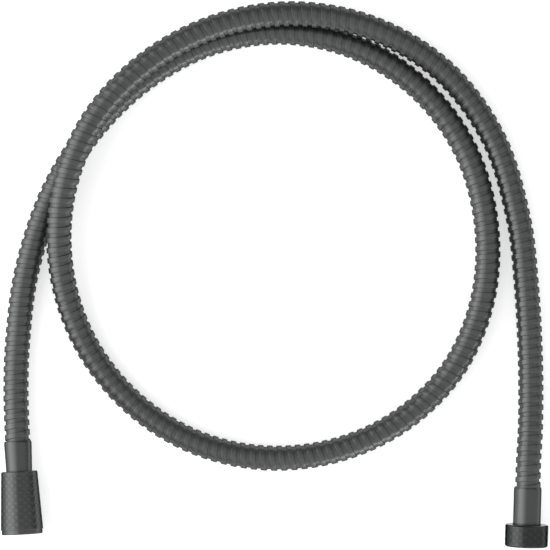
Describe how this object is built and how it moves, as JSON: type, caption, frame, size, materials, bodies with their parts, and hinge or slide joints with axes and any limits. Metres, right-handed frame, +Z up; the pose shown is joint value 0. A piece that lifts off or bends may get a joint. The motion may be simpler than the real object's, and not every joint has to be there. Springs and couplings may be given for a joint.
{
  "type": "shower hose",
  "caption": "Flexible metal hose in one flat loop, with a long conical nut for a hand shower at one end and a short round nut for a wall outlet at the other.",
  "frame": {"origin": "under the middle of the whole hose, on the surface that it lies on", "axes": "+Z up from that surface; +Y from the two ends towards the far side of the loop; +X from the conical nut's side to the short nut's side"},
  "size_m": [0.3053, 0.3027, 0.029],
  "materials": {
    "casing_steel": "graphite-coloured coating on a polished interlocked strip",
    "sleeve_steel": "smooth turned sleeve with the same graphite-coloured coating",
    "nut_brass": "fine diamond knurl under a dark graphite-coloured coating",
    "tail_brass": "plain turned brass",
    "crimp_aluminium": "plain pressed ring",
    "inner_rubber": "matt extruded rubber",
    "washer_rubber": "matt moulded rubber",
    "ring_plastic": "moulded acetal"
  },
  "bodies": {
    "hose": {"metal_casing": "casing_steel", "inner_tube": "inner_rubber", "cone_sleeve": "sleeve_steel", "cone_crimp_ring": "crimp_aluminium", "cone_tail": "tail_brass", "cone_washer": "washer_rubber", "union_sleeve": "sleeve_steel", "union_crimp_ring": "crimp_aluminium", "union_tail": "tail_brass", "union_washer": "washer_rubber"},
    "cone_ring": {"cone_slip_ring": "ring_plastic"},
    "cone_nut": {"cone_nut": "nut_brass"},
    "union_ring": {"union_slip_ring": "ring_plastic"},
    "union_nut": {"union_nut": "nut_brass"}
  },
  "joints": [
    {"name": "cone_nut_slide", "type": "slide", "parent": "hose", "child": "cone_ring", "axis": [-0.0537, 0.9972, -0.0529], "range_m": [0, 0.0165]},
    {"name": "cone_nut_turn", "type": "hinge", "parent": "cone_ring", "child": "cone_nut", "pos_m": [-0.14089, -0.14445, 0.01194], "axis": [-0.0537, 0.9972, -0.0529], "continuous": true},
    {"name": "union_nut_slide", "type": "slide", "parent": "hose", "child": "union_ring", "axis": [0.0266, 0.9996, 0.0002], "range_m": [0, 0.0205]},
    {"name": "union_nut_turn", "type": "hinge", "parent": "union_ring", "child": "union_nut", "pos_m": [0.14006, -0.15129, 0.01199], "axis": [0.0266, 0.9996, 0.0002], "continuous": true}
  ]
}
